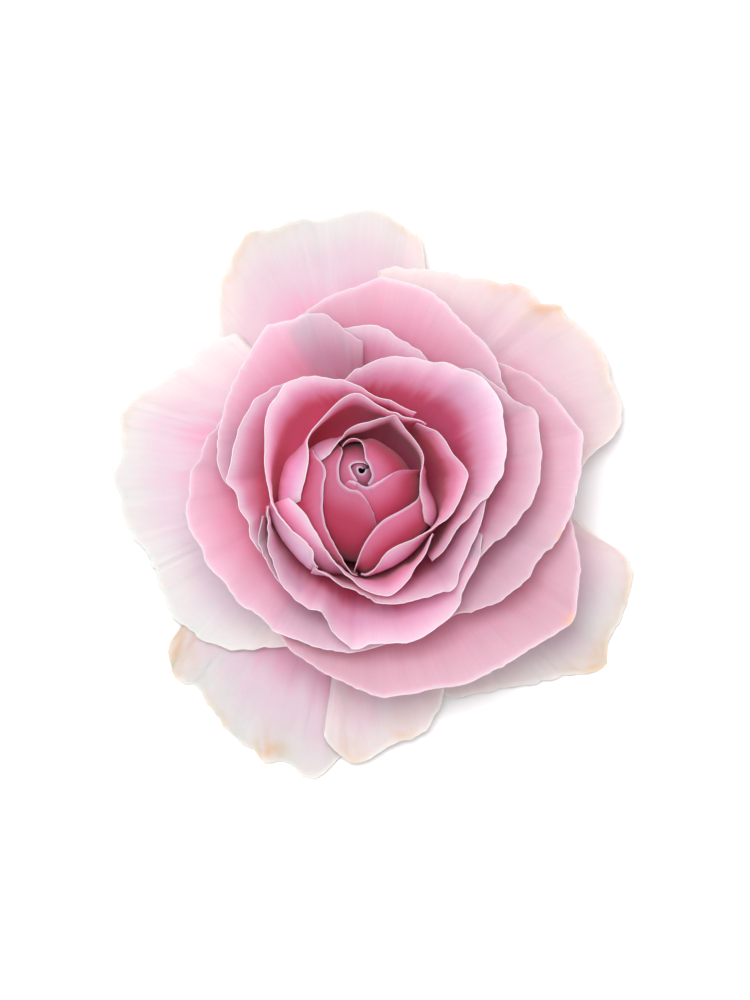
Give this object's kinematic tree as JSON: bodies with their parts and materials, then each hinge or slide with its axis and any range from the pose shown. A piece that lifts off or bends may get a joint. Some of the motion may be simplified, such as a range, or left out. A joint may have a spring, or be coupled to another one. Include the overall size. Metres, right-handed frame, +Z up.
{
  "type": "rose flower",
  "caption": "Open pale pink rose bloom without its stem, lying face up: layered cupped petals around a tight deep pink heart, with sepals beneath.",
  "frame": {"origin": "on the surface the bloom rests on, under the centre of the bloom's bounding box", "axes": "+Z up out of the face of the bloom, along its axis; +Y towards the paired upper petals and -Y towards the drooping lower petals; +X to the right as the bloom is looked down on"},
  "size_m": [0.1016, 0.1142, 0.0481],
  "materials": {
    "petal_heart": "soft matte petal, deep rose pink, crimson in the folds",
    "petal_ring": "soft matte petal, mid pink with a pale rim",
    "petal_cup": "soft matte petal, light pink deepening towards the heart, pale rim",
    "petal_shell": "soft matte petal, light pink",
    "petal_fan": "soft matte petal, pale pink",
    "petal_guard": "thin matte petal, nearly white, faint veins and tan tinges at the edge",
    "receptacle": "matte fresh green",
    "sepal": "matte fresh green leaf"
  },
  "bodies": {
    "root": {"petal_core": "petal_heart", "petal_wrap": "petal_heart", "petal_heart_top": "petal_heart", "petal_heart_right": "petal_heart", "petal_heart_left": "petal_heart", "petal_bud_right": "petal_heart", "petal_hood": "petal_ring", "petal_bud_left": "petal_heart", "petal_ring_right": "petal_ring", "petal_ring_top": "petal_ring", "petal_ring_low": "petal_ring", "petal_cup_left": "petal_cup", "petal_cup_right": "petal_cup", "petal_cup_low": "petal_cup", "petal_cup_bottom": "petal_cup", "petal_shell_lobe": "petal_shell", "petal_shell_right": "petal_shell", "petal_shell_left": "petal_shell", "petal_fan_top_left": "petal_fan", "petal_shell_top": "petal_shell", "petal_fan_left": "petal_fan", "petal_fan_top": "petal_fan", "petal_fan_right": "petal_fan", "petal_fan_bottom": "petal_fan", "petal_guard_right": "petal_guard", "petal_guard_left": "petal_guard", "petal_guard_bottom": "petal_guard", "petal_guard_low_left": "petal_guard", "petal_guard_low_right": "petal_guard", "petal_guard_top": "petal_guard", "receptacle": "receptacle", "sepal_1": "sepal", "sepal_2": "sepal", "sepal_3": "sepal", "sepal_4": "sepal", "sepal_5": "sepal"}
  },
  "joints": []
}
